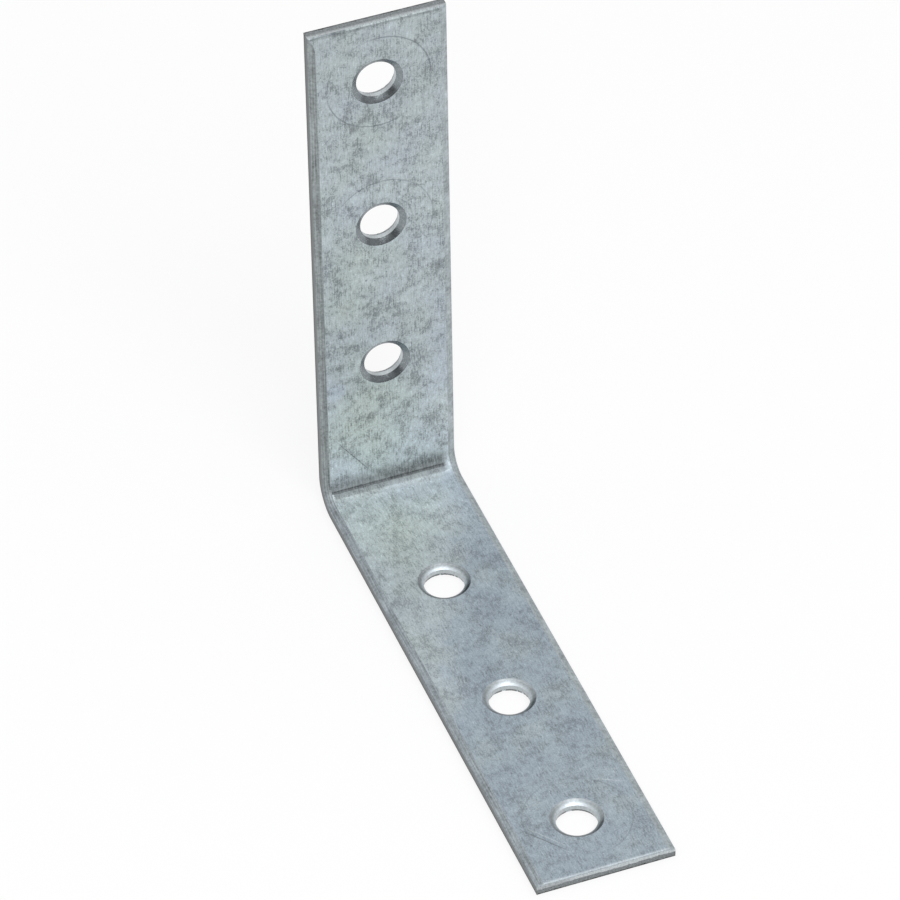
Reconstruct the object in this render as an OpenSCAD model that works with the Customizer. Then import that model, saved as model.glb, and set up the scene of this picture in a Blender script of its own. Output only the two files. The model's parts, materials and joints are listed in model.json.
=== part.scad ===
// Corner brace: one strip of galvanised steel folded square, with three countersunk screw holes
// in each leg. It stands on its lower leg, as it would on a bench. X runs across the strip,
// the lower leg lies along Y with the fold at +Y, and the upright leg rises along +Z.
// The origin is the middle of the rectangle that the brace stands on, at the bottom.

/* [Strip] */
// Width of the strip
strip_w = 24; // [18:0.5:40]
// Thickness of the steel with its zinc
thick = 2; // [1.6:0.1:3]
// Length of the upright leg, from the outer face of the lower leg to its end
upright_len = 101.4; // [96:0.2:160]
// Length of the lower leg, from the outer face of the upright leg to its end
foot_len = 101.4; // [96:0.2:160]
// Radius inside the fold
fold_r = 3.25; // [2:0.25:6]

/* [Edges] */
// Width of the rolled-over band that slitting left along both long edges
roll_w = 1.25; // [0.6:0.05:2]
// How far that band falls away from the inner face
roll_drop = 0.55; // [0.3:0.05:0.8]
// Slope at which that band leaves the inner face, in degrees
roll_start = 12; // [4:1:15]
// Size of the edge break where the ends were sheared
end_break = 0.3; // [0.1:0.05:0.6]

/* [Screw holes] */
// Diameter of the straight bore
bore_d = 6.9; // [5:0.1:9]
// Diameter of the countersink at the inner face
sink_d = 8.9; // [7.5:0.1:12]
// Depth of the countersink
sink_depth = 0.7; // [0.3:0.05:0.9]
// Diameter at the outer face, where the punched metal tore out
tear_d = 7.2; // [5.2:0.1:9.4]
// Depth of the torn-out part of the wall
tear_depth = 0.5; // [0.2:0.05:0.6]
// Holes in each leg
hole_count = 3; // [1:1:3]
// Distance from the end of a leg to its first hole
hole_end = 12.1; // [9:0.1:16]
// Distance from one hole to the next
hole_pitch = 30.2; // [20:0.1:32]
// How far the row of holes lies off the middle of the strip, towards -X
hole_off = 0.3; // [0:0.1:1.5]

/* [Mark of the folding tool] */
// Distance from the mark's end to the rolled band at the -X side
mark_gap_left = 0.3; // [0.1:0.05:3]
// Distance from the mark's other end to the rolled band at the +X side
mark_gap_right = 1.2; // [0.1:0.05:3]
// How far the mark reaches up the fold from the middle of the curve
mark_up = 0.45; // [0.2:0.05:0.8]
// How far the mark reaches down the fold from the middle of the curve
mark_down = 0.65; // [0.2:0.05:0.8]
// Depth of the step at its upper side
mark_depth = 0.3; // [0.1:0.05:0.4]

/* [Hidden] */
$fn = 96;
// How far a cutting shape runs past the metal
over = 1;
// Radius on the outside of the fold
fold_outer_r = fold_r + thick;
// The fold's centre line is this far from both outer faces
fold_c = fold_outer_r;
// Y of the upright leg's outer face, so that the origin is midway along the foot
back_y = foot_len/2;
// Straight stretch of each leg, beyond the fold
upright_flat = upright_len - fold_c;
foot_flat = foot_len - fold_c;
// The rolled band's arc: its chord, the slope of the chord, and the radius that gives the slope
roll_chord = sqrt(roll_w^2 + roll_drop^2);
roll_chord_slope = atan2(roll_drop, roll_w);
roll_half_angle = roll_chord_slope - roll_start;
roll_r = roll_chord/(2*sin(roll_half_angle));
// Widening of the countersink and of the torn part for each millimetre of depth
sink_flare = (sink_d - bore_d)/2/sink_depth;
tear_flare = (tear_d - bore_d)/2/tear_depth;

// What the roll takes off one edge, with the sharp corner at 0,0, the face along -X and the side along -Y.
// The cut starts over the top of the arc and ends halfway down from the arc's end to its centre,
// so that the arc alone marks where the band begins and ends.
module rolled_off() {
    arc_x = -roll_w - roll_r*sin(roll_start);
    arc_y = -roll_r*cos(roll_start);
    cut_low = (arc_y - roll_drop)/2;
    difference() {
        translate([arc_x, cut_low])
            square([over - arc_x, over - cut_low]);
        translate([arc_x, arc_y])
            circle(r = roll_r);
    }
}

// Section of the strip: X across it, Y from the outer face at 0 to the inner face
module strip_section() {
    difference() {
        translate([-strip_w/2, 0])
            square([strip_w, thick]);
        translate([strip_w/2, thick])
            rolled_off();
        mirror([1, 0])
            translate([strip_w/2, thick])
                rolled_off();
    }
}

// One straight leg along +Z, with its outer face at Y = 0 and its inner face towards -Y
module leg(flat_len) {
    mirror([0, 1, 0])
        linear_extrude(height = flat_len)
            strip_section();
}

// Moves a leg's own frame (outer face at Y = 0, heel at Z = 0, rising) to the lower leg,
// by the mirror plane that halves the fold
module as_foot() {
    mirror([0, 1, 1])
        children();
}

// The fold, a quarter turn of the same section about its centre line
module fold() {
    translate([0, -fold_c, fold_c])
        rotate([0, 90, 0])
            rotate_extrude(angle = 90)
                translate([fold_outer_r, 0])
                    rotate([0, 0, 90])
                        strip_section();
}

// Takes the sharp inner corner off the sheared end of a leg
module end_relief(leg_len) {
    translate([0, -thick, leg_len])
        rotate([45, 0, 0])
            cube([strip_w + 2*over, end_break*sqrt(2), end_break*sqrt(2)], center = true);
}

// One screw hole through a leg at its own origin: straight bore, countersink on the inner face
// at -Y and the wider torn part at the outer face, Y = 0
module screw_hole() {
    rotate([90, 0, 0]) {
        translate([0, 0, -over])
            cylinder(h = thick + 2*over, d = bore_d);
        translate([0, 0, thick - sink_depth])
            cylinder(h = sink_depth + over, d1 = bore_d, d2 = sink_d + 2*over*sink_flare);
        translate([0, 0, -over])
            cylinder(h = tear_depth + over, d1 = tear_d + 2*over*tear_flare, d2 = bore_d);
    }
}

// The row of holes in one leg, counted from its end
module hole_row(leg_len) {
    for (i = [0 : hole_count - 1])
        translate([-hole_off, 0, leg_len - hole_end - i*hole_pitch])
            screw_hole();
}

// Shallow step that the nose of the folding tool pressed into the inside of the fold.
// Its upper side is a small wall and its floor runs out to nothing at the lower side.
// The polygon's X runs out from the fold's centre line, and its Y up along the curve.
module nose_mark() {
    surface_up = sqrt(fold_r^2 - mark_up^2);
    surface_down = sqrt(fold_r^2 - mark_down^2);
    floor_rise = (surface_up + mark_depth - surface_down)/(mark_up + mark_down);
    run_out = mark_down/4;
    mark_len = strip_w - 2*roll_w - mark_gap_left - mark_gap_right;
    translate([roll_w + mark_gap_left - strip_w/2, -fold_c, fold_c])
        rotate([-45, 0, 0])
            rotate([90, 0, 90])
                linear_extrude(height = mark_len)
                    polygon([
                        [surface_down - floor_rise*run_out, -mark_down - run_out],
                        [surface_up + mark_depth, mark_up],
                        [surface_up - over, mark_up],
                        [surface_down - over, -mark_down - run_out]
                    ]);
}

// The whole brace, with the outer corner at Y = 0, Z = 0
module brace_at_corner() {
    difference() {
        union() {
            translate([0, 0, fold_c])
                leg(upright_flat);
            fold();
            as_foot()
                translate([0, 0, fold_c])
                    leg(foot_flat);
        }
        hole_row(upright_len);
        end_relief(upright_len);
        as_foot() {
            hole_row(foot_len);
            end_relief(foot_len);
        }
        nose_mark();
    }
}

module brace() {
    color([0.66, 0.70, 0.72])
        translate([0, back_y, 0])
            brace_at_corner();
}

brace();
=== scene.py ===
import json
import math

import bmesh
import bpy
from mathutils import Matrix, Vector


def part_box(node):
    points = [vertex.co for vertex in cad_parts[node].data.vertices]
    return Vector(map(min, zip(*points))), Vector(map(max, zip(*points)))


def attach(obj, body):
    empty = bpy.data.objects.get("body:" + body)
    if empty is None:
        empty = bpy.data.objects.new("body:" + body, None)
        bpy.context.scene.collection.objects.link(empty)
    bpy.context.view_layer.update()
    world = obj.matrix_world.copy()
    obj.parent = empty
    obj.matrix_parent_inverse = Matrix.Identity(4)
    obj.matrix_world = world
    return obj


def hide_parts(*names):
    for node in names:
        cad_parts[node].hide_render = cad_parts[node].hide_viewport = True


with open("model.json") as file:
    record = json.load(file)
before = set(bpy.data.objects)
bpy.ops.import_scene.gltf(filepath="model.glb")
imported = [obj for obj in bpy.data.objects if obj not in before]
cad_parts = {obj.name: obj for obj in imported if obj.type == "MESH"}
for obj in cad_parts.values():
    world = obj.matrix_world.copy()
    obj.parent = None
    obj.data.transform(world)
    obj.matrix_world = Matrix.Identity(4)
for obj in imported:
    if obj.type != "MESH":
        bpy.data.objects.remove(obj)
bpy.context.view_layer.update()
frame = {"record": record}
bpy.ops.object.select_all(action="DESELECT")

# Sizes of the brace, in metres. The frame gives the outline and the holes.
MM = 0.001
low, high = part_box("brace")
HALF_W = high.x
FOOT_END = low.y
BACK = high.y
TOP = high.z
THICK = 2 * MM
FOLD_R = 3.25 * MM
FOLD_C = FOLD_R + THICK
FOLD_Y = BACK - FOLD_C
INNER_Y = BACK - THICK

# The band that slitting rolled over along both long edges of the inner face
ROLL_W = 1.25 * MM
ROLL_DROP = 0.55 * MM
ROLL_START = math.radians(12)
ROLL_STEPS = 6
# Over this length the band at the left runs out towards the top end, where this share of it is gone
ROLL_RUN_OUT = 3.7 * MM
ROLL_LOST = 0.94

# The sheared ends. The burnished half ends in a wavy line: reach, waves for each millimetre, start
END_BREAK = 0.3 * MM
BURNISHED = 1.0 * MM
BURNISHED_WAVES = [(0.07, 0.5, 0.4), (0.04, 2.3, 2.0), (0.03, 7.3, 1.0)]
TORN_BACK = 0.1 * MM
TORN_GRAIN = 0.6 * MM

# Screw holes, as rings of a turned cutter: height above the outer face, and radius
BORE_MIDDLE = 0.9 * MM
SINK_R = 4.45 * MM
HOLE_REACH = SINK_R + 0.1 * MM
HOLE_SIDES = 96
RAGGED = 0.03 * MM
CUTTER_RINGS = [
    (-1.0 * MM, 3.95 * MM),
    (0.0, 3.62 * MM),
    (0.42 * MM, 3.47 * MM),
    (0.5 * MM, 3.45 * MM),
    (1.3 * MM, 3.45 * MM),
    (1.95 * MM, 4.37 * MM),
    (2.0 * MM, 4.47 * MM),
    (2.02 * MM, 4.55 * MM),
    (2.3 * MM, 5.6 * MM),
]

# The mark that the nose of the folding tool left inside the fold
MARK_LEFT = -10.45 * MM
MARK_RIGHT = 9.55 * MM
MARK_UP = 0.45 * MM
MARK_DOWN = 0.65 * MM
MARK_DEPTH = 0.3 * MM
MARK_RUN_OUT = 0.16 * MM

# How finely the strip's surface is divided
COLUMNS = 36
LAYERS = 4
RING = 1.0 * MM
END_ZONE = 4.0 * MM
END_RINGS = 10
ROUNDING_RINGS = 5
TORN_CUTS = 3
FOLD_STEPS = 24
NEAR = 0.001 * MM
CRISP = math.radians(13)

# Slots of the finishes, in the order in which make_brace adds them
ZINC, SIDE, END, SINK, BORE, BAND = range(6)
# Limits of the finishes: how much of a face's normal points along the hole, to the side or to the end
LEVEL_WITH_LEG = 0.98
BORE_WALL = 0.35
SIDEWAYS = 0.9
ENDWAYS = 0.25
TURNED_TO_SIDE = 0.15

# Places on the strip are given as it was before folding: x across it, and along it
# from the middle of the fold, the foot below 0 and the upright leg above, in millimetres.
MID_R = (FOLD_R + THICK / 2) / MM
HALF_FOLD = MID_R * math.pi / 4
FLAT_START = FOLD_C / MM
FROM_CORNER = FLAT_START - HALF_FOLD

# Where the rows of holes lie along the strip, the same on both legs: the hole nearest the end,
# and the pitch
FIRST_HOLE = TOP / MM - 12.1 - FROM_CORNER
PITCH = 30.2


def on_upright(x, height):
    """Place of a mark on the upright leg, from its height above the outer corner."""
    return (x, height - FROM_CORNER)


def on_foot(x, out):
    """Place of a mark on the foot, from its distance out from the outer corner."""
    return (x, FROM_CORNER - out)


# Modelling


def open_piece(piece):
    """Opens a piece for editing."""
    bpy.ops.object.select_all(action="DESELECT")
    piece.select_set(True)
    bpy.context.view_layer.objects.active = piece
    bpy.ops.object.mode_set(mode="EDIT")


def close_piece():
    """Closes the open piece."""
    bpy.ops.object.mode_set(mode="OBJECT")


def pick(piece, kind, wanted):
    """Selects the vertices, edges or faces of the open piece whose corners all pass a test of place."""
    bpy.ops.mesh.select_mode(type=kind)
    bpy.ops.mesh.select_all(action="DESELECT")
    mesh = bmesh.from_edit_mesh(piece.data)
    if kind == "VERT":
        for corner in mesh.verts:
            corner.select = wanted(corner.co)
    else:
        for part in mesh.edges if kind == "EDGE" else mesh.faces:
            part.select = all(wanted(corner.co) for corner in part.verts)
    mesh.select_flush_mode()
    bmesh.update_edit_mesh(piece.data)


def pick_lengthwise(piece, direction, wanted):
    """Selects the open piece's edges that run along a direction and whose ends pass a test of place."""
    bpy.ops.mesh.select_mode(type="EDGE")
    bpy.ops.mesh.select_all(action="DESELECT")
    mesh = bmesh.from_edit_mesh(piece.data)
    for edge in mesh.edges:
        first, second = (corner.co for corner in edge.verts)
        run = second - first
        straight = abs(run.dot(direction)) > run.length * 0.9999
        edge.select = straight and wanted(first) and wanted(second)
    mesh.select_flush_mode()
    bmesh.update_edit_mesh(piece.data)


def extrude(move):
    """Extrudes what is selected in the open piece."""
    bpy.ops.mesh.extrude_region_move(TRANSFORM_OT_translate={"value": move})


def apply_modifier(piece, kind, **settings):
    """Works a modifier into a piece's mesh."""
    bpy.ops.object.select_all(action="DESELECT")
    piece.select_set(True)
    bpy.context.view_layer.objects.active = piece
    added = piece.modifiers.new("step", kind)
    for name, value in settings.items():
        setattr(added, name, value)
    bpy.ops.object.modifier_apply(modifier=added.name)


def settle(piece):
    """Puts a piece's place, turn and size into its mesh."""
    bpy.ops.object.select_all(action="DESELECT")
    piece.select_set(True)
    bpy.context.view_layer.objects.active = piece
    bpy.ops.object.transform_apply(location=True, rotation=True, scale=True)


def roll_section():
    """Points of the rolled band's arc, as distances out from the middle and up from the outer face."""
    chord = math.hypot(ROLL_W, ROLL_DROP)
    half_angle = math.atan2(ROLL_DROP, ROLL_W) - ROLL_START
    radius = chord / (2 * math.sin(half_angle))
    centre_out = HALF_W - ROLL_W - radius * math.sin(ROLL_START)
    centre_up = THICK - radius * math.cos(ROLL_START)
    points = []
    for step in range(ROLL_STEPS + 1):
        angle = ROLL_START + 2 * half_angle * step / ROLL_STEPS
        points.append((centre_out + radius * math.sin(angle), centre_up + radius * math.cos(angle)))
    return points


def strip_end():
    """The strip's cut end, standing at the end of the foot, with its two rolled-over corners."""
    bpy.ops.mesh.primitive_grid_add(
        x_subdivisions=COLUMNS,
        y_subdivisions=LAYERS,
        size=1,
        location=(0, FOOT_END, THICK / 2),
        rotation=(math.radians(90), 0, 0),
    )
    strip = bpy.context.object
    strip.name = "galvanised_brace"
    strip.data.name = "galvanised_brace"
    face_half = HALF_W - ROLL_W
    strip.scale = (2 * face_half, THICK, 1)
    settle(strip)
    open_piece(strip)
    for side in (-1, 1):
        pick(strip, "EDGE", lambda place: abs(place.x - side * face_half) < NEAR)
        extrude((side * ROLL_W, 0, 0))
        arc = roll_section()
        for (out, up), (next_out, next_up) in zip(arc, arc[1:]):
            bpy.ops.mesh.select_all(action="SELECT")
            bpy.ops.mesh.bisect(
                plane_co=(side * out, FOOT_END, up),
                plane_no=Vector((side * (up - next_up), 0, next_out - out)).normalized(),
                clear_outer=True,
                threshold=NEAR / 10,
            )
    close_piece()
    return strip


def run_leg(strip, cap, direction, lengths):
    """Extrudes the strip's end at the cap point along a leg, in stretches of (length, rings)."""
    travelled = Vector(cap)
    for length, rings in lengths:
        start = travelled.dot(direction)
        pick(strip, "FACE", lambda place: abs(place.dot(direction) - start) < NEAR)
        extrude(direction * length)
        travelled += direction * length
        stop = travelled.dot(direction)
        pick_lengthwise(
            strip, direction, lambda place: start - NEAR < place.dot(direction) < stop + NEAR
        )
        bpy.ops.mesh.subdivide(number_cuts=rings - 1)


def fold_strip(strip):
    """Draws the strip out along the foot, round the fold and up the upright leg."""
    open_piece(strip)
    foot_flat = FOLD_Y - FOOT_END - END_ZONE
    upright_flat = TOP - FOLD_C - END_ZONE
    forward, upward = Vector((0, 1, 0)), Vector((0, 0, 1))
    end_stretches = [(END_BREAK, ROUNDING_RINGS), (END_ZONE - END_BREAK, END_RINGS)]
    run_leg(
        strip,
        (0, FOOT_END, 0),
        forward,
        [*end_stretches, (foot_flat, round(foot_flat / RING))],
    )
    pick(strip, "FACE", lambda place: abs(place.y - FOLD_Y) < NEAR)
    bpy.ops.mesh.spin(
        steps=FOLD_STEPS, angle=math.radians(-90), center=(0, FOLD_Y, FOLD_C), axis=(1, 0, 0)
    )
    run_leg(
        strip,
        (0, 0, FOLD_C),
        upward,
        [(upright_flat, round(upright_flat / RING)), *reversed(end_stretches)],
    )
    bpy.ops.mesh.select_all(action="SELECT")
    bpy.ops.mesh.remove_doubles(threshold=NEAR)
    bpy.ops.mesh.normals_make_consistent(inside=False)
    close_piece()


def on_inner_side(x, drop):
    """Whether a point that lies so far below the inner face is on that face or on a rolled band."""
    return drop < ROLL_DROP / ROLL_W * max(0, abs(x) + ROLL_W - HALF_W) + NEAR


def narrow_band(strip):
    """Runs the left rolled band out towards the top end, ring by ring."""
    open_piece(strip)
    fine = [END_BREAK * ring / ROUNDING_RINGS for ring in range(ROUNDING_RINGS)]
    coarse = [END_BREAK + (END_ZONE - END_BREAK) * ring / END_RINGS for ring in range(END_RINGS)]
    for off in fine + coarse:
        share = max(0, 1 - off / ROLL_RUN_OUT)
        kept = 1 - ROLL_LOST * share**2
        pick(
            strip,
            "VERT",
            lambda place: place.x < ROLL_W - HALF_W + NEAR
            and abs(place.z - TOP + off) < NEAR
            and on_inner_side(place.x, place.y - INNER_Y),
        )
        bpy.ops.transform.resize(
            value=(kept, kept, 1), center_override=(-HALF_W, INNER_Y, TOP - off)
        )
    close_piece()


def round_ends(strip):
    """Rounds the inner edge of both sheared ends, ring by ring."""
    open_piece(strip)
    for ring in range(ROUNDING_RINGS):
        even = END_BREAK * ring / ROUNDING_RINGS
        angle = math.radians(90) * (1 - ring / ROUNDING_RINGS)
        off = END_BREAK * (1 - math.sin(angle))
        drop = END_BREAK * (1 - math.cos(angle))
        pick(strip, "VERT", lambda place: abs(place.y - FOOT_END - even) < NEAR)
        bpy.ops.transform.translate(value=(0, off - even, 0))
        pick(
            strip,
            "VERT",
            lambda place: abs(place.y - FOOT_END - off) < NEAR
            and on_inner_side(place.x, THICK - place.z),
        )
        bpy.ops.transform.translate(value=(0, 0, -drop))
        pick(strip, "VERT", lambda place: abs(place.z - TOP + even) < NEAR)
        bpy.ops.transform.translate(value=(0, 0, even - off))
        pick(
            strip,
            "VERT",
            lambda place: abs(place.z - TOP + off) < NEAR
            and on_inner_side(place.x, place.y - INNER_Y),
        )
        bpy.ops.transform.translate(value=(0, drop, 0))
    close_piece()


def burnished_to(x):
    """How deep below the inner face the burnished part of a sheared end reaches, which is uneven."""
    return BURNISHED + sum(
        reach * MM * math.sin(waves * x / MM + start) for reach, waves, start in BURNISHED_WAVES
    )


def tear_ends(strip):
    """Sets back the half of each sheared end that tore, and roughens it."""
    open_piece(strip)
    for wanted in (
        lambda place: place.y < FOOT_END + NEAR and place.z < THICK - BURNISHED / 2 + NEAR,
        lambda place: place.z > TOP - NEAR and place.y > INNER_Y + BURNISHED / 2 - NEAR,
    ):
        pick(strip, "FACE", wanted)
        bpy.ops.mesh.subdivide(number_cuts=TORN_CUTS)
    close_piece()
    torn = bpy.data.textures.new("torn metal", "CLOUDS")
    torn.noise_scale = TORN_GRAIN
    torn.noise_depth = 3
    ends = {
        "Y": lambda place: place.y < FOOT_END + NEAR and THICK - place.z > burnished_to(place.x),
        "Z": lambda place: place.z > TOP - NEAR and place.y - INNER_Y > burnished_to(place.x),
    }
    inwards = {"Y": TORN_BACK, "Z": -TORN_BACK}
    for direction, wanted in ends.items():
        group = strip.vertex_groups.new(name="torn")
        group.add([v.index for v in strip.data.vertices if wanted(v.co)], 1, "REPLACE")
        apply_modifier(
            strip,
            "DISPLACE",
            texture=torn,
            texture_coords="LOCAL",
            direction=direction,
            vertex_group="torn",
            strength=2 * inwards[direction],
            mid_level=0,
        )
        strip.vertex_groups.clear()


def hole_cutter():
    """The punch and the countersink as one turned cutter, standing on the outer face at the origin."""
    height, radius = CUTTER_RINGS[0]
    bpy.ops.mesh.primitive_circle_add(
        vertices=HOLE_SIDES, radius=radius, fill_type="NGON", location=(0, 0, height)
    )
    cutter = bpy.context.object
    settle(cutter)
    open_piece(cutter)
    bpy.ops.mesh.select_all(action="SELECT")
    for next_height, next_radius in CUTTER_RINGS[1:]:
        extrude((0, 0, next_height - height))
        wider = next_radius / radius
        bpy.ops.transform.resize(
            value=(wider, wider, 1), center_override=(0, 0, next_height)
        )
        height, radius = next_height, next_radius
    bpy.ops.mesh.select_all(action="SELECT")
    bpy.ops.mesh.normals_make_consistent(inside=False)
    close_piece()
    return cutter


def ragged_copy(cutter, seed):
    """A copy of the cutter with its own mesh, its torn ring a little uneven."""
    copied = cutter.copy()
    copied.data = cutter.data.copy()
    bpy.context.collection.objects.link(copied)
    open_piece(copied)
    torn_low, torn_high = CUTTER_RINGS[1][0], CUTTER_RINGS[3][0]
    pick(copied, "VERT", lambda place: torn_low - NEAR < place.z < torn_high - NEAR)
    bpy.ops.transform.vertex_random(offset=RAGGED, uniform=1, seed=seed)
    close_piece()
    return copied


def nose_cutter():
    """A wedge for the folding tool's mark: its upper side is a wall and its floor runs out downwards."""
    outer_up = math.sqrt(FOLD_R**2 - MARK_UP**2) + MARK_DEPTH
    outer_down = math.sqrt(FOLD_R**2 - MARK_DOWN**2)
    floor_rise = (outer_up - outer_down) / (MARK_UP + MARK_DOWN)
    bottom = -MARK_DOWN - MARK_RUN_OUT
    inner = outer_down - MM
    bpy.ops.mesh.primitive_cube_add(size=1)
    cutter = bpy.context.object
    cutter.scale = (MARK_RIGHT - MARK_LEFT, outer_up - inner, MARK_UP - bottom)
    cutter.location = (
        (MARK_LEFT + MARK_RIGHT) / 2,
        (outer_up + inner) / 2,
        (MARK_UP + bottom) / 2,
    )
    settle(cutter)
    open_piece(cutter)
    pick(cutter, "EDGE", lambda place: place.y > outer_up - NEAR and place.z < bottom + NEAR)
    floor_out = outer_down - floor_rise * MARK_RUN_OUT
    bpy.ops.transform.translate(value=(0, floor_out - outer_up, 0))
    close_piece()
    cutter.rotation_euler.x = math.radians(-45)
    cutter.location = (0, FOLD_Y, FOLD_C)
    settle(cutter)
    return cutter


def punch(strip):
    """Cuts the screw holes and the folding tool's mark, and says where the holes are."""
    cutter = hole_cutter()
    cutters = [nose_cutter()]
    bores = [mount for mount in frame["record"]["mounts"] if mount["kind"] == "bore"]
    for number, bore in enumerate(bores):
        way = Vector(bore["axis"])
        copied = ragged_copy(cutter, number)
        copied.rotation_euler = way.to_track_quat("Z", "Y").to_euler()
        copied.location = Vector(bore["pos_m"]) - way * BORE_MIDDLE
        settle(copied)
        cutters.append(copied)
    bpy.data.objects.remove(cutter)
    bpy.ops.object.select_all(action="DESELECT")
    for tool in cutters:
        tool.select_set(True)
    bpy.context.view_layer.objects.active = cutters[0]
    bpy.ops.object.join()
    apply_modifier(
        strip, "BOOLEAN", operation="DIFFERENCE", solver="MANIFOLD", object=cutters[0]
    )
    bpy.data.objects.remove(cutters[0])
    return [Vector(bore["pos_m"]) for bore in bores]


def unfolded(place):
    """Where a point of the brace lay on the strip before folding, in millimetres: across, along, and depth
    below the inner face."""
    across, out, up = place.x / MM, (FOLD_Y - place.y) / MM, (place.z - FOLD_C) / MM
    fold_r = FOLD_R / MM
    if out > 0 and up <= 0:
        return across, -HALF_FOLD - out, -up - fold_r
    if out <= 0 and up > 0:
        return across, HALF_FOLD + up, -out - fold_r
    turned = math.atan2(-out, -up)
    return across, MID_R * (turned - math.pi / 4), math.hypot(out, up) - fold_r


def lay_out(strip):
    """Writes each point's place on the unfolded strip, for the finishes to follow."""
    layer = strip.data.attributes.new("unfolded", "FLOAT_VECTOR", "POINT")
    for corner, value in zip(strip.data.vertices, layer.data):
        value.vector = unfolded(corner.co)


def finish_of(face, holes):
    """Slot of the finish that a face takes, by its place and the way it faces."""
    centre, normal = face.center, face.normal
    nearest = min(holes, key=lambda hole: (hole - centre).length)
    way = Vector((0, 0, 1)) if nearest.z < THICK else Vector((0, -1, 0))
    off = centre - nearest
    off -= way * off.dot(way)
    level = abs(normal.dot(way))
    if off.length < HOLE_REACH and level < LEVEL_WITH_LEG:
        return BORE if level < BORE_WALL else SINK
    if abs(normal.x) > SIDEWAYS:
        return SIDE
    at_foot_end = (centre.y - FOOT_END, THICK - centre.z, -normal.y)
    at_top_end = (TOP - centre.z, centre.y - INNER_Y, normal.z)
    for inside, drop, facing in (at_foot_end, at_top_end):
        if inside < NEAR or (inside < END_BREAK and drop > BURNISHED / 2 and facing > ENDWAYS):
            return END
    on_band = abs(normal.x) > TURNED_TO_SIDE and abs(centre.x) > HALF_W - ROLL_W
    return BAND if on_band else ZINC


# Finishes


class Wire:
    """The output of a node, with which sums can be written as plain expressions."""

    def __init__(self, sheet, socket):
        self.sheet = sheet
        self.socket = socket

    def maths(self, operation, *others):
        """A Math node on this value and the others."""
        return self.sheet.node(
            "ShaderNodeMath", {"operation": operation}, dict(enumerate((self, *others)))
        )

    def __add__(self, other):
        return self.maths("ADD", other)

    def __sub__(self, other):
        return self.maths("SUBTRACT", other)

    def __rsub__(self, other):
        return self.sheet.node(
            "ShaderNodeMath", {"operation": "SUBTRACT"}, {0: other, 1: self}
        )

    def __mul__(self, other):
        return self.maths("MULTIPLY", other)

    __radd__ = __add__
    __rmul__ = __mul__


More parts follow.
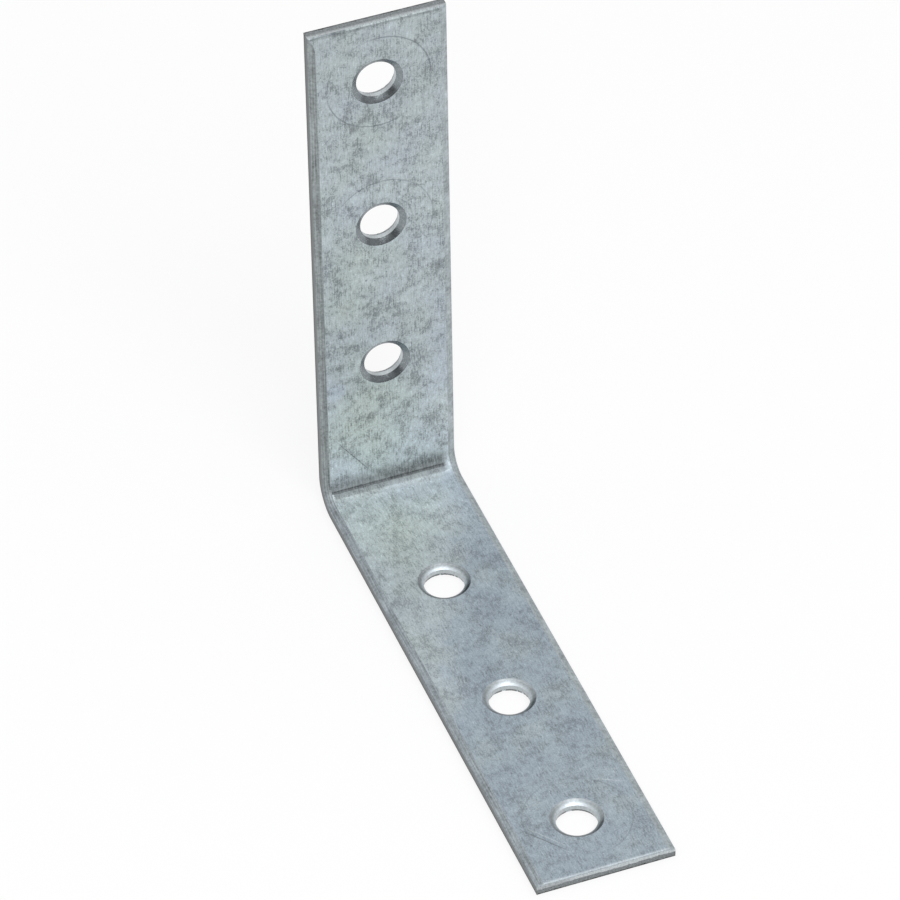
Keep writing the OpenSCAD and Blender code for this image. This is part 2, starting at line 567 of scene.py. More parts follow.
class Sheet:
    """The node sheet of a material or the world, with the few patterns that the finishes are made of."""

    def __init__(self, owner):
        owner.use_nodes = True
        self.owner = owner
        self.tree = owner.node_tree
        self.tree.nodes.clear()

    def node(self, kind, settings=None, inputs=None, out=0):
        """Any node: its kind, its settings, and the values or links of its sockets. Gives one output."""
        made = self.tree.nodes.new(kind)
        for name, value in (settings or {}).items():
            setattr(made, name, value)
        for name, value in (inputs or {}).items():
            socket = made.inputs[name]
            if isinstance(value, Wire):
                self.tree.links.new(value.socket, socket)
            else:
                socket.default_value = (*value, 1) if socket.type == "RGBA" else value
        return Wire(self, made.outputs[out]) if made.outputs else None

    def place(self):
        """Place on the unfolded strip, in millimetres."""
        return self.node("ShaderNodeAttribute", {"attribute_name": "unfolded"}, out="Vector")

    def parts(self, vector):
        """The three parts of a vector. Of a place on the strip they are across, along and depth."""
        split = self.node("ShaderNodeSeparateXYZ", {}, {0: vector}).socket.node
        return [Wire(self, socket) for socket in split.outputs]

    def vector(self, x, y, z=0.0):
        return self.node("ShaderNodeCombineXYZ", {}, {0: x, 1: y, 2: z})

    def vector_maths(self, operation, first, second, out=0):
        return self.node(
            "ShaderNodeVectorMath", {"operation": operation}, {0: first, 1: second}, out
        )

    def scaled(self, vector, factor):
        return self.node("ShaderNodeVectorMath", {"operation": "SCALE"}, {0: vector, 3: factor})

    def length(self, vector):
        return self.node("ShaderNodeVectorMath", {"operation": "LENGTH"}, {0: vector}, "Value")

    def noise(self, vector, size, detail=2.0, roughness=0.5, distortion=0.0):
        """Cloudy noise about 0, with features of a size in millimetres."""
        made = self.node(
            "ShaderNodeTexNoise",
            {},
            {
                "Vector": vector,
                "Scale": 1 / size,
                "Detail": detail,
                "Roughness": roughness,
                "Distortion": distortion,
            },
        )
        return made - 0.5

    def streaks(self, vector, across, along, detail=2.0):
        """Noise about 0 drawn out along the strip, for what rolling and sliding leave."""
        squeezed = self.vector_maths("MULTIPLY", vector, (1 / across, 1 / along, 0))
        return self.noise(squeezed, 1, detail)

    def wander(self, vector, size, reach):
        """The same place, pushed about by noise, so that outlines drawn on it are uneven."""
        pushed = self.node(
            "ShaderNodeTexNoise", {}, {"Vector": vector, "Scale": 1 / size, "Detail": 3.0}, "Color"
        )
        centred = self.vector_maths("SUBTRACT", pushed, (0.5, 0.5, 0.5))
        flat = self.vector_maths("MULTIPLY", centred, (reach, reach, 0))
        return self.vector_maths("ADD", vector, flat)

    def between(self, value, start, stop, reached=1.0):
        """0 up to start and reached from stop, smoothly. Start may be the larger."""
        return self.node(
            "ShaderNodeMapRange",
            {"interpolation_type": "SMOOTHSTEP", "clamp": False},
            {0: value, 1: start, 2: stop, 4: reached},
        )

    def mix(self, share, first, second):
        """Colour that goes from the first to the second as share goes from 0 to 1."""
        return self.node("ShaderNodeMix", {"data_type": "RGBA"}, {0: share, 6: first, 7: second}, 2)

    def turned_to(self, vector, centre, reach, turn):
        """Place in a mark's own frame, where the mark reaches 1 each way from its centre."""
        return self.node(
            "ShaderNodeMapping",
            {"vector_type": "TEXTURE"},
            {
                "Vector": vector,
                "Location": (*centre, 0),
                "Rotation": (0, 0, math.radians(turn)),
                "Scale": (*reach, 1),
            },
        )

    def spot(self, vector, centre, reach, turn, strength):
        """An oval mark, strongest in its middle."""
        local = self.turned_to(vector, centre, reach, turn)
        return self.between(self.length(local), 1, 0.1, strength)

    def dot(self, vector, centre, radius, strength):
        """A round mark, strongest in its middle."""
        off = self.vector_maths("DISTANCE", vector, (*centre, 0), "Value")
        return self.between(off, radius, 0.1 * radius, strength)

    def scratch(self, vector, start, stop, width, strength):
        """A straight scratch that thins out to its ends."""
        run = Vector(stop) - Vector(start)
        middle = (Vector(start) + Vector(stop)) / 2
        turn = math.degrees(math.atan2(run.y, run.x))
        local = self.turned_to(vector, middle, (run.length / 2, width / 2), turn)
        along, across, _ = self.parts(local)
        off = across * across + along * along
        return self.between(off, 1, 0.2, strength)

    def arc(self, vector, centre, radius, width, facing, spread, strength):
        """Part of a ring, to both sides of the direction it faces, in degrees."""
        away = self.vector_maths("SUBTRACT", vector, (*centre, 0))
        off = self.length(away) - radius
        line = self.between(off * off, (width / 2) ** 2, 0, strength)
        way = (math.cos(math.radians(facing)), math.sin(math.radians(facing)), 0)
        straight = self.node(
            "ShaderNodeVectorMath", {"operation": "NORMALIZE"}, {0: away}
        )
        facing_it = self.vector_maths("DOT_PRODUCT", straight, way, "Value")
        edge = math.cos(math.radians(spread))
        return line * self.between(facing_it, edge - 0.12, edge + 0.12)

    def metal(self, colour, metallic, roughness, height, depth):
        """Ends the sheet in one metal shader. Depth is what a height of 1 stands proud, in millimetres."""
        normal = self.node("ShaderNodeBump", {}, {"Height": height, "Distance": depth * MM})
        shader = self.node(
            "ShaderNodeBsdfPrincipled",
            {},
            {
                "Base Color": colour,
                "Metallic": metallic,
                "Roughness": roughness,
                "Normal": normal,
            },
        )
        self.node("ShaderNodeOutputMaterial", {}, {"Surface": shader})
        return self.owner


def seen(red, green, blue):
    """A colour as a screen shows it, from 0 to 255, turned into the renderer's own."""

    def plain(level):
        share = level / 255
        return share / 12.92 if share <= 0.04045 else ((share + 0.055) / 1.055) ** 2.4

    return plain(red), plain(green), plain(blue)


# Marks on the inner face, from the picture: place, reach across and along, turn in degrees, strength

BLOTCHES = [
    (on_upright(-4.6, 96.3), (1.7, 1.6), 20, 0.9),
    (on_upright(10.0, 92.5), (0.6, 1.8), 0, 0.6),
    (on_upright(8.1, 93.6), (0.6, 0.7), 0, 0.5),
    (on_upright(7.5, 82.0), (0.45, 4.5), 2, 0.5),
    (on_upright(10.2, 87.5), (0.4, 1.8), 0, 0.45),
    (on_upright(1.2, 78.8), (1.1, 1.7), 0, 0.6),
    (on_upright(-3.8, 77.0), (0.4, 2.4), 0, 0.5),
    (on_upright(-7.2, 75.0), (0.9, 0.9), 0, 0.6),
    (on_upright(-4.5, 73.0), (1.2, 0.8), 0, 0.6),
    (on_upright(4.7, 70.5), (0.9, 0.9), 0, 0.5),
    (on_upright(-4.0, 67.6), (0.9, 0.8), 0, 0.9),
    (on_upright(-7.0, 63.2), (0.9, 0.9), 0, 0.5),
    (on_upright(-3.3, 51.5), (1.1, 1.4), 20, 0.7),
    (on_upright(0.4, 50.8), (1.1, 0.8), 0, 0.5),
    (on_upright(-8.3, 46.8), (0.8, 1.8), 0, 0.5),
    (on_upright(5.2, 44.2), (0.9, 0.7), 0, 0.9),
    (on_upright(0.8, 40.2), (0.9, 1.3), 0, 0.6),
    (on_upright(-2.3, 38.5), (0.8, 0.7), 0, 0.6),
    (on_upright(6.0, 23.5), (0.9, 0.8), 0, 0.9),
    (on_upright(7.2, 21.4), (1.4, 0.5), 40, 0.7),
    (on_upright(-1.5, 21.0), (0.9, 0.9), 0, 0.6),
    (on_upright(-5.5, 17.5), (0.9, 0.9), 0, 0.6),
    (on_upright(1.2, 14.7), (0.8, 0.7), 0, 0.7),
    (on_upright(9.0, 9.3), (0.8, 0.7), 0, 0.6),
    (on_foot(-8.0, 9.5), (1.4, 1.2), 0, 0.5),
    (on_foot(7.0, 13.2), (1.8, 0.6), -35, 0.5),
    (on_foot(8.5, 22.3), (1.3, 1.2), 0, 0.8),
    (on_foot(-7.5, 24.8), (1.6, 0.6), 35, 0.5),
    (on_foot(6.5, 36.5), (2.6, 0.5), 5, 0.5),
    (on_foot(1.8, 38.3), (0.7, 0.7), 0, 0.5),
    (on_foot(-1.0, 48.5), (1.4, 0.6), -40, 0.6),
    (on_foot(3.0, 50.3), (2.0, 0.4), 0, 0.5),
    (on_foot(7.9, 51.6), (0.6, 1.1), 0, 0.6),
    (on_foot(-5.0, 53.0), (0.9, 0.9), 0, 0.5),
    (on_foot(3.5, 71.5), (0.9, 0.8), 0, 0.6),
    (on_foot(-4.2, 72.9), (0.9, 1.2), 0, 0.6),
    (on_foot(-3.8, 79.5), (0.8, 0.8), 0, 0.5),
    (on_foot(8.5, 77.0), (1.8, 0.7), -35, 0.6),
    (on_foot(-7.0, 81.5), (0.9, 0.8), 0, 0.5),
]

# Small blotches of one size, and small dark dots
SMALL_BLOTCHES = [
    on_upright(-10.0, 74.0),
    on_upright(-2.5, 75.0),
    on_upright(3.8, 75.0),
    on_upright(8.0, 71.8),
    on_upright(7.2, 68.0),
    on_upright(-5.7, 66.6),
    on_upright(-4.5, 45.0),
    on_upright(5.0, 46.3),
    on_upright(10.3, 46.5),
    on_upright(10.6, 37.0),
    on_upright(-8.0, 36.7),
    on_upright(4.0, 21.5),
    on_upright(-8.7, 15.8),
    on_upright(5.9, 16.0),
    on_foot(-1.0, 10.0),
    on_foot(5.0, 20.0),
    on_foot(9.0, 7.8),
    on_foot(-4.5, 29.0),
    on_foot(-7.0, 36.0),
    on_foot(9.0, 40.8),
    on_foot(5.5, 44.0),
    on_foot(-3.5, 49.7),
    on_foot(-5.6, 68.0),
]
DOTS = [
    on_upright(6.0, 59.4),
    on_upright(8.0, 58.8),
    on_upright(-3.2, 47.7),
    on_upright(1.3, 37.0),
    on_upright(-10.5, 15.3),
    on_upright(-4.6, 59.9),
    on_upright(4.5, 58.9),
    on_upright(-4.4, 6.2),
    on_foot(11.6, 64.8),
]
SMALL_BLOTCH_R = 0.8
SMALL_BLOTCH_STRENGTH = 0.55
DOT_R = 0.33
DOT_STRENGTH = 1.1

# Rings that screw heads or the punch's stripper left round the holes: centre, radius, the way
# that part of the ring faces, its spread to each side, and strength
RING_R = 9.0
RING_WIDTH = 0.36
RINGS = [
    (on_upright(-0.1, 89.2), RING_R, 45, 50, 0.9),
    (on_upright(-0.1, 89.2), RING_R, 245, 48, 0.8),
    (on_upright(-0.1, 89.2), RING_R, 150, 60, 0.25),
    (on_upright(-0.1, 89.2), 6.0, 225, 40, 0.3),
    (on_upright(-0.2, 59.2), RING_R, 57, 82, 0.6),
    (on_upright(-0.2, 59.2), 5.4, 10, 45, 0.45),
    (on_foot(-0.2, 89.3), RING_R, -10, 62, 0.5),
    (on_foot(-0.2, 89.3), RING_R, 155, 40, 0.5),
    (on_foot(-0.2, 89.3), RING_R, 90, 20, 0.4),
]

# Dark and bright scratches: from, to, width, strength
SCRATCHES = [
    (on_upright(-9.8, 14.4), on_upright(-2.4, 3.9), 0.24, 1.0),
    (on_upright(-12.0, 101.3), on_upright(-4.5, 101.35), 0.35, 0.9),
    (on_foot(-10.3, 88.0), on_foot(-3.9, 96.4), 0.3, 1.1),
    (on_foot(8.5, 92.7), on_foot(10.5, 93.0), 0.35, 0.8),
    (on_foot(-4.0, 94.3), on_foot(-2.0, 94.8), 0.3, 0.5),
    (on_foot(3.0, 95.0), on_foot(5.5, 94.0), 0.3, 0.5),
]
BRIGHT_SCRATCHES = [
    (on_foot(-9.6, 87.6), on_foot(-3.5, 95.6), 0.2, 0.25),
    (on_foot(5.0, 81.7), on_foot(10.5, 84.6), 0.26, 0.25),
    (on_foot(6.5, 80.3), on_foot(11.0, 81.5), 0.22, 0.15),
    (on_foot(9.3, 3.3), on_foot(10.6, 3.0), 0.5, 0.45),
    (on_foot(-6.0, 4.3), on_foot(-1.5, 4.5), 0.9, 0.25),
]


def blotches(sheet, flat):
    """Dark blotches that have their own place on the inner face, as how dark each point is."""
    uneven = sheet.wander(flat, 0.9, 1.1)
    dark = 0
    for centre, reach, turn, strength in BLOTCHES:
        dark = dark + sheet.spot(uneven, centre, reach, turn, strength)
    for centre in SMALL_BLOTCHES:
        dark = dark + sheet.dot(uneven, centre, SMALL_BLOTCH_R, SMALL_BLOTCH_STRENGTH)
    return dark


def drawn_marks(sheet, shaky):
    """Rings, dark scratches and dots, as how dark each point is."""
    dark = 0
    for centre, radius, facing, spread, strength in RINGS:
        dark = dark + sheet.arc(shaky, centre, radius, RING_WIDTH, facing, spread, strength)
    for start, stop, width, strength in SCRATCHES:
        dark = dark + sheet.scratch(shaky, start, stop, width, strength)
    for centre in DOTS:
        dark = dark + sheet.dot(shaky, centre, DOT_R, DOT_STRENGTH)
    return dark


def bright_scratches(sheet, shaky):
    """Scratches that laid bright metal bare, as how bright each point is."""
    bright = 0
    for start, stop, width, strength in BRIGHT_SCRATCHES:
        bright = bright + sheet.scratch(shaky, start, stop, width, strength)
    return bright


def fold_rubbing_and_shade(sheet, flat):
    """Darker where the folding tool rubbed it above the crease, partly as painted shade, and painted shade
    on the ledge.
    """
    across, along, _ = sheet.parts(flat)
    short_of_right = sheet.between(across, 10.6, 9.3)
    only_across = sheet.vector(across, 0)
    # The rubbed smudge above the crease, partly a painted shade
    lobe = sheet.between(across, 1.0, 7.5) * short_of_right * 0.7
    blotchy = sheet.noise(flat, 1.3, 4.0, 0.65) * 2.4
    streaky = sheet.streaks(flat, 0.3, 2.5, 3.0)
    reach = along + streaky * 1.8 + blotchy - lobe
    smear_and_shade = sheet.between(reach, 4.5, 0.9) * (0.6 - streaky * 0.6)
    tilted = along + sheet.noise(only_across, 2.0) * 0.3
    # A painted shade: a thin dark line along the crease
    smear_and_shade = smear_and_shade + sheet.between(tilted, 0.9, 0.4, 0.15)
    above = sheet.between(tilted, -0.15, 0.1)
    # A painted shade on the ledge and a little below it, where it faces the light
    ledge = sheet.between(tilted, -1.5, -1.0) * (0.42 + tilted * 0.08)
    ledge = ledge + sheet.between(tilted, -2.9, -2.1, 0.18) - sheet.between(tilted, -3.9, -3.1, 0.07)
    ledge = ledge * sheet.between(tilted, 0.1, -0.1) * sheet.between(across, -10.8, -10.2)
    return (smear_and_shade * above + ledge) * short_of_right


# Colours of the finishes. Where the two legs differ, each has its own; in the countersinks and the bores
# that difference is a painted shade.
GREEN_ZINC = seen(173, 184, 179)
BLUE_ZINC = seen(169, 179, 188)
FOOT_ZINC = seen(149, 161, 171)
MARK_COLOUR = seen(92, 100, 106)
# Bare metal in scratches, and the painted highlight along the foot end's edge
BRIGHT_METAL_AND_HIGHLIGHT = seen(216, 223, 226)
RIGHT_BAND = seen(160, 169, 173)
FOOT_BAND = seen(150, 159, 164)
UPRIGHT_BAND = seen(141, 148, 149)
BURNISHED_SIDE = seen(118, 123, 125)
TORN_SIDE = seen(100, 104, 104)
BURNISHED_END = seen(190, 197, 200)
TORN_END = seen(139, 144, 146)
FOOT_SINK = seen(160, 167, 171)
# The upright's countersinks are darker, a painted shade
UPRIGHT_SINK_SHADED = seen(137, 144, 148)
BURNISHED_BORE = seen(196, 203, 206)
# The foot's torn bore is darker, a painted shade
FOOT_TORN_BORE_SHADED = seen(116, 121, 123)
UPRIGHT_TORN_BORE = seen(148, 153, 155)

# How far off in the noise the outer face's pattern lies, so that the two faces differ
OUTER_SLICE = 40

# Where the zinc is greener than elsewhere, and where bluer: place, reach, turn, strength
GREEN_PATCHES = [
    (on_foot(-3.0, 14.0), (11.0, 14.0), 0, 0.5),
    (on_upright(-3.0, 18.0), (10.0, 18.0), 0, 0.75),
    (on_upright(-6.0, 48.0), (6.0, 16.0), 0, 0.5),
]
BLUE_PATCHES = [
    (on_upright(-9.5, 25.5), (2.5, 3.0), 0, 0.8),
    (on_upright(9.5, 30.0), (5.0, 24.0), 0, 0.4),
]


def patches(sheet, vector, places):
    """The sum of some oval patches."""
    total = 0
    for centre, reach, turn, strength in places:
        total = total + sheet.spot(vector, centre, reach, turn, strength)
    return total


def zinc_face():
    """Zinc on the flat faces and the fold."""
    sheet = Sheet(bpy.data.materials.new("galvanised face"))
    across, along, depth = sheet.parts(sheet.place())
    outer = sheet.between(depth, 1.0, 1.2)
    flat = sheet.vector(across, along, outer * OUTER_SLICE)
    inner = 1 - outer

    # Patterns, from the widest to the finest
    clouds = sheet.noise(flat, 7.0, 2.0)
    patchy = sheet.noise(sheet.wander(flat, 2.0, 1.6), 3.4, 3.0, 0.55)
    mottle = sheet.noise(flat, 1.5, 5.0, 0.66, 0.4)
    grain = sheet.noise(flat, 0.26, 3.0, 0.75)
    lines = sheet.streaks(flat, 0.17, 6.0)
    dashes = sheet.streaks(flat, 0.28, 1.2)
    speckle = sheet.between(sheet.streaks(flat, 0.3, 0.55, 3.0), 0.05, -0.07)
    blots = sheet.between(sheet.noise(sheet.wander(flat, 1.0, 1.2), 2.2, 2.0), -0.04, -0.16)
    groups = sheet.between(clouds, 0.08, -0.08)
    specks = sheet.between(sheet.noise(flat, 0.33, 1.0), -0.2, -0.26)
    flecks = sheet.between(sheet.streaks(sheet.vector(along, across), 1.3, 0.26, 1.0), 0.19, 0.26)

    # How light the zinc is
    upright = sheet.between(along, -4.0, 4.0)
    uneven = (clouds * 0.6 + patchy * 0.85 + mottle * 1.25) * (0.95 + upright * 0.05)
    fine = grain * 1.5 + dashes * 0.9 + lines * (0.3 + upright * 0.25)
    pits = sheet.between(fine + uneven * 1.5, 0.0, -0.35)
    worn = pits * (0.13 + upright * 0.09)
    light = 1.04 + uneven * 0.55 + fine * 0.8 - worn - specks * 0.35 + flecks * 0.4
    # A painted light: the zinc is made lighter towards the fold, on both legs
    painted_fold_light = sheet.between(along, 30, 5) * sheet.between(along, -25, -4) * inner
    near_top = sheet.between(along, 62, 88)
    # A painted shade: the whole foot is darker than the upright. The upright is a little darker towards
    # its top end
    leg = (0.855 + upright * 0.125) * (1 - near_top * 0.07)
    # A painted highlight along the foot end's rounded inner edge
    foot_edge_highlight = sheet.between(along, -98.95, -99.35)
    # A painted shade: a dark line along the top end's rounded inner edge
    top_edge_shade = sheet.between(along, 98.7, 99.15) * sheet.between(depth, 0.14, 0.02)
    light = light * leg * (1 + painted_fold_light * (0.25 - upright * 0.02) - top_edge_shade * 0.28)

    # Its colour, darkened where it was rubbed and by painted shade in the fold
    wide = sheet.wander(flat, 5.0, 6.0)
    green = patches(sheet, wide, GREEN_PATCHES) - patches(sheet, wide, BLUE_PATCHES)
    far = sheet.between(across * 2.5 - along + clouds * 40, 18, 42) * inner
    tint = 0.62 + sheet.noise(flat, 9.0, 3.0) * 1.1 - green * 0.6 * inner + far * 0.3
    blue = sheet.mix(far, BLUE_ZINC, FOOT_ZINC)
    fold_rub_and_shade = fold_rubbing_and_shade(sheet, flat)
    zinc = sheet.scaled(sheet.mix(tint, GREEN_ZINC, blue), light * (1 - fold_rub_and_shade * inner))

    # Marks that lie on it, bare metal that shines through, and a painted highlight along the foot end's
    # edge
    shaky = sheet.wander(flat, 1.5, 0.22)
    placed = blotches(sheet, flat) * (0.2 + speckle * 0.8) * 0.7 + drawn_marks(sheet, shaky) * 0.6
    scattered = blots * groups * (0.2 + speckle * 0.8) * (0.15 + upright * 0.27)
    zinc = sheet.mix(placed * inner + scattered, zinc, MARK_COLOUR)
    shine_and_edge_highlight = bright_scratches(sheet, shaky) + foot_edge_highlight * 0.26
    colour = sheet.mix(shine_and_edge_highlight * inner, zinc, BRIGHT_METAL_AND_HIGHLIGHT)

    roughness = 0.5 + mottle * 0.2 + blots * 0.05 + lines * 0.1
    height = lines * 0.4 + dashes * 0.4 + grain * 0.7 + mottle * 1.2 - speckle * blots * 0.3
    return sheet.metal(colour, 0.4, roughness, height, 0.014)


def rolled_band():
    """The bands that slitting rolled over: darker than the face, most of all at the upright's left."""
    sheet = Sheet(bpy.data.materials.new("rolled band"))
    across, along, _ = sheet.parts(sheet.place())
    out = across.maths("ABSOLUTE")
    left = sheet.between(across, 0.5, -0.5)
    upright = sheet.between(along, -3.0, 5.0)
    streaks = sheet.noise(sheet.vector(out * 5, along * 0.12), 1.0, 3.0)
    grain = sheet.noise(sheet.place(), 0.5, 4.0, 0.65)
    stretches = sheet.noise(sheet.vector(along, 0), 6.0, 1.0)
    by_the_face = sheet.between(out, 11.5, 11.3) * sheet.between(out, 10.85, 11.05)
    by_the_face = by_the_face * left * (0.4 + upright * 0.6)
    left_band = sheet.mix(upright, FOOT_BAND, UPRIGHT_BAND)
    colour = sheet.mix(left, RIGHT_BAND, left_band)
    mottle = sheet.noise(sheet.place(), 2.0, 4.0, 0.6)
    grainy = streaks * (0.6 + left * 0.9) + grain * (1.0 + left * 0.5) + mottle * (1 - left)
    light = (1 + grainy + stretches * 0.7 - by_the_face * 0.14) * (0.87 + upright * 0.13)
    return sheet.metal(sheet.scaled(colour, light), 0.4, 0.5, grain + streaks, 0.014)


def slit_side():
    """The strip's long sides, where slitting tore through the zinc."""
    sheet = Sheet(bpy.data.materials.new("slit side"))
    _, along, depth = sheet.parts(sheet.place())
    drawn = sheet.vector(along * 0.6, depth * 5)
    grain = sheet.noise(drawn, 1.0, 4.0, 0.65)
    torn = sheet.between(depth + grain * 0.5, 1.2, 1.5)
    colour = sheet.mix(torn, BURNISHED_SIDE, TORN_SIDE)
    return sheet.metal(sheet.scaled(colour, 1 + grain * 0.9), 0.8, 0.5, grain, 0.03)


def sheared_end():
    """The cut ends: burnished where the blade slid, dark and rough where the metal tore."""
    sheet = Sheet(bpy.data.materials.new("sheared end"))
    across, along, depth = sheet.parts(sheet.place())
    edge = BURNISHED / MM
    for reach, waves, start in BURNISHED_WAVES:
        edge = edge + (across * waves + start).maths("SINE") * reach
    streaks = sheet.noise(sheet.vector(across * 3, depth * 1.2), 1.0, 4.0, 0.6)
    crumbs = sheet.noise(sheet.vector(across, depth), 0.25, 4.0, 0.7)
    torn = sheet.between(depth - edge + crumbs * 0.6, -0.1, 0.1)
    top = sheet.between(along, -1, 1)
    fading = top * (0.13 + sheet.between(depth, 0.4, 1.1) * 0.36)
    corner = sheet.between(across, -5.0, -8.0) * (1 - top) * 0.24
    bright = sheet.scaled(BURNISHED_END, 1 + streaks * 0.8 + crumbs * 0.9 - fading - corner)
    dark = sheet.scaled(TORN_END, 1 + crumbs * 1.8 + streaks * 0.6)
    roughness = 0.42 + torn * 0.16
    return sheet.metal(sheet.mix(torn, bright, dark), 0.8, roughness, crumbs * torn, 0.12)


def countersink():
    """The pressed countersinks, burnished by the tool, with painted shade and a painted highlight."""
    sheet = Sheet(bpy.data.materials.new("countersink"))
    _, along, depth = sheet.parts(sheet.place())
    turned = sheet.noise(sheet.vector(depth, 0), 0.09, 3.0)
    grain = sheet.noise(sheet.place(), 0.4, 3.0)
    upright = sheet.between(along, -4, 4)
    # A painted shade: the upright's countersinks are darker than the foot's
    colour = sheet.mix(upright, FOOT_SINK, UPRIGHT_SINK_SHADED)
    to_end = along.maths("ABSOLUTE").maths("WRAP", FIRST_HOLE + PITCH / 2, FIRST_HOLE - PITCH / 2)
    # On the foot: painted shade on each countersink's near side and round the hole by the fold, a painted
    # highlight deep down
    near_side_shade = sheet.between(to_end - FIRST_HOLE, 0.8, 2.6) * (1 - upright)
    deep = sheet.between(depth, 0.25, 0.6) * (1 - upright)
    fold_side_shade = sheet.between(along, -45, -35) * (1 - upright) * (1 - deep)
    light = 1 + turned * 0.6 + grain * 0.8 - near_side_shade * 0.58 + deep * 0.6 - fold_side_shade * 0.18
    roughness = 0.36 - upright * 0.1 + deep * 0.16 + grain * 0.1
    return sheet.metal(sheet.scaled(colour, light), 1.0, roughness, turned + grain, 0.001)


def bore():
    """The punched bores: burnished, then torn towards the outer face, with painted shade in the foot's."""
    sheet = Sheet(bpy.data.materials.new("punched bore"))
    across, along, depth = sheet.parts(sheet.place())
    drawn = sheet.vector(across * 5, along * 5, depth * 0.8)
    streaks = sheet.noise(drawn, 1.0, 3.0)
    torn = sheet.between(depth + streaks * 0.4, 1.45, 1.6)
    upright = sheet.between(along, -4, 4)
    # A painted shade: the foot's bores are darker than the upright's, in colour and as a whole
    dark = sheet.mix(upright, FOOT_TORN_BORE_SHADED, UPRIGHT_TORN_BORE)
    colour = sheet.mix(torn, BURNISHED_BORE, dark)
    light = 0.86 + upright * 0.14 + streaks * 0.6
    return sheet.metal(sheet.scaled(colour, light), 0.85, 0.4, streaks, 0.03)


def make_brace():
    """Makes the brace and gives it its finishes."""
    strip = strip_end()
    fold_strip(strip)
    holes = punch(strip)
    narrow_band(strip)
    round_ends(strip)
    tear_ends(strip)
    lay_out(strip)
    strip.data.materials.clear()
    for finish in (zinc_face, slit_side, sheared_end, countersink, bore, rolled_band):
        strip.data.materials.append(finish())
    for face in strip.data.polygons:
        face.material_index = finish_of(face, holes)
    bpy.ops.object.select_all(action="DESELECT")
    strip.select_set(True)
    bpy.context.view_layer.objects.active = strip
    bpy.ops.object.shade_smooth_by_angle(angle=CRISP)
    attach(strip, "root")
    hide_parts("brace")


# The camera stands where the picture was taken from, worked out from the brace's outline and holes
VIEW_AZIMUTH = math.radians(-20.124)
VIEW_HEIGHT = math.radians(41.94)
VIEW_ROLL = math.radians(1.066)
VIEW_TARGET = Vector((-1.428, 14.7, 37.769)) * MM
VIEW_DISTANCE = 1.152014
VIEW_LENS = 281.72

# The floor lies just under the brace. The camera sees most of it as plain white.
FLOOR_SIZE = 8
FLOOR_GAP = 0.02 * MM
FLOOR_GREY = 0.75
FLOOR_WHITE_SHARE = 0.8

# How bright the studio is: in front, with the loss at the left, then behind and at the right,
# and overhead
FRONT_LEVEL = 0.3
LEFT_DROP = 0.14
BEHIND_LEVEL = 0.8
OVERHEAD_LEVEL = 1.5


def place_camera():
    """Puts the camera where it looks at the target from the view's azimuth, height and distance."""
    right = Vector((math.cos(VIEW_AZIMUTH), math.sin(VIEW_AZIMUTH), 0))
    level = math.cos(VIEW_HEIGHT)
    back = Vector(
        (
            math.sin(VIEW_AZIMUTH) * level,
            -math.cos(VIEW_AZIMUTH) * level,
            math.sin(VIEW_HEIGHT),
        )
    )
    up = back.cross(right)
    rolled_right = right * math.cos(VIEW_ROLL) - up * math.sin(VIEW_ROLL)
    rolled_up = right * math.sin(VIEW_ROLL) + up * math.cos(VIEW_ROLL)
    turn = Matrix((rolled_right, rolled_up, back)).transposed().to_4x4()
    data = bpy.data.cameras.new("camera")
    data.lens = VIEW_LENS
    data.sensor_width = 36
    data.clip_start = 0.05
    data.clip_end = 20
    camera = bpy.data.objects.new("camera", data)
    camera.matrix_world = Matrix.Translation(VIEW_TARGET + back * VIEW_DISTANCE) @ turn
    bpy.context.collection.objects.link(camera)
    bpy.context.scene.camera = camera


def seen_plainly(sheet):
    """1 for what the camera sees straight or in a reflection, 0 for light on its way to a surface."""
    rays = sheet.node("ShaderNodeLightPath").socket.node
    camera, glossy, through = (
        Wire(sheet, rays.outputs[name])
        for name in ("Is Camera Ray", "Is Glossy Ray", "Is Transmission Ray")
    )
    return camera.maths("MAXIMUM", glossy).maths("MAXIMUM", through)


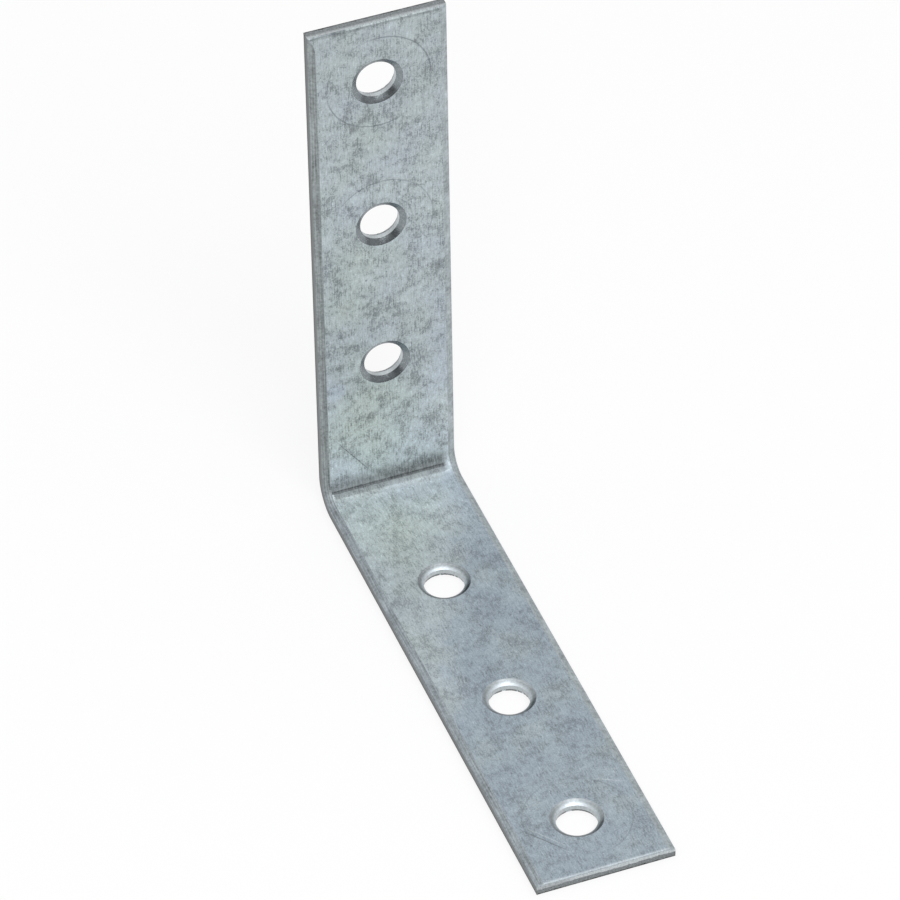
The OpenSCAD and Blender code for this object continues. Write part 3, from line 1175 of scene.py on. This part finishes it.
def lay_floor():
    """A pale floor that keeps the brace's shadow."""
    bpy.ops.object.select_all(action="DESELECT")
    bpy.ops.mesh.primitive_plane_add(size=FLOOR_SIZE, location=(0, 0, -FLOOR_GAP))
    floor = bpy.context.object
    floor.name = "floor"
    settle(floor)
    sheet = Sheet(bpy.data.materials.new("pale floor"))
    lit = sheet.node("ShaderNodeBsdfDiffuse", {}, {"Color": (FLOOR_GREY,) * 3})
    white = sheet.node("ShaderNodeEmission", {}, {"Strength": 1.0})
    share = seen_plainly(sheet) * FLOOR_WHITE_SHARE
    mixed = sheet.node("ShaderNodeMixShader", {}, {0: share, 1: lit, 2: white})
    sheet.node("ShaderNodeOutputMaterial", {}, {"Surface": mixed})
    floor.data.materials.append(sheet.owner)


def light_world():
    """Soft light from above, behind and the right, dim in front and at the left. The camera sees white."""
    world = bpy.data.worlds.new("studio")
    bpy.context.scene.world = world
    sheet = Sheet(world)
    way = sheet.node("ShaderNodeTexCoord", out="Generated")
    x, y, z = sheet.parts(way)
    overhead = sheet.between(z, 0.5, 0.8)
    behind = sheet.between(y, 0.0, 0.4)
    right = sheet.between(x, 0.2, 0.7) * sheet.between(z, 0.0, 0.3)
    left = sheet.between(x, 0.3, -0.6)
    low = FRONT_LEVEL - left * LEFT_DROP
    level = low + behind.maths("MAXIMUM", right) * (BEHIND_LEVEL - low)
    level = level + overhead * (OVERHEAD_LEVEL - level)
    camera = sheet.node("ShaderNodeLightPath", out="Is Camera Ray")
    strength = level + camera * (1 - level)
    shader = sheet.node("ShaderNodeBackground", {}, {"Strength": strength})
    sheet.node("ShaderNodeOutputWorld", {}, {"Surface": shader})


def hang_softbox(name, place, aim, size, radiance):
    """A rectangular lamp, as bright as a white wall of that radiance."""
    data = bpy.data.lights.new(name, "AREA")
    data.shape = "RECTANGLE"
    data.size, data.size_y = size
    data.energy = radiance * math.pi * size[0] * size[1]
    lamp = bpy.data.objects.new(name, data)
    lamp.location = place
    lamp.rotation_euler = (Vector(aim) - Vector(place)).to_track_quat("-Z", "Y").to_euler()
    bpy.context.collection.objects.link(lamp)


place_camera()
lay_floor()
light_world()
hang_softbox(
    "front softbox", place=(-0.1, -1.1, 1.27), aim=(0, 0, 0.04), size=(1.3, 0.7), radiance=6.0
)
make_brace()
bpy.context.scene.view_settings.view_transform = "Standard"
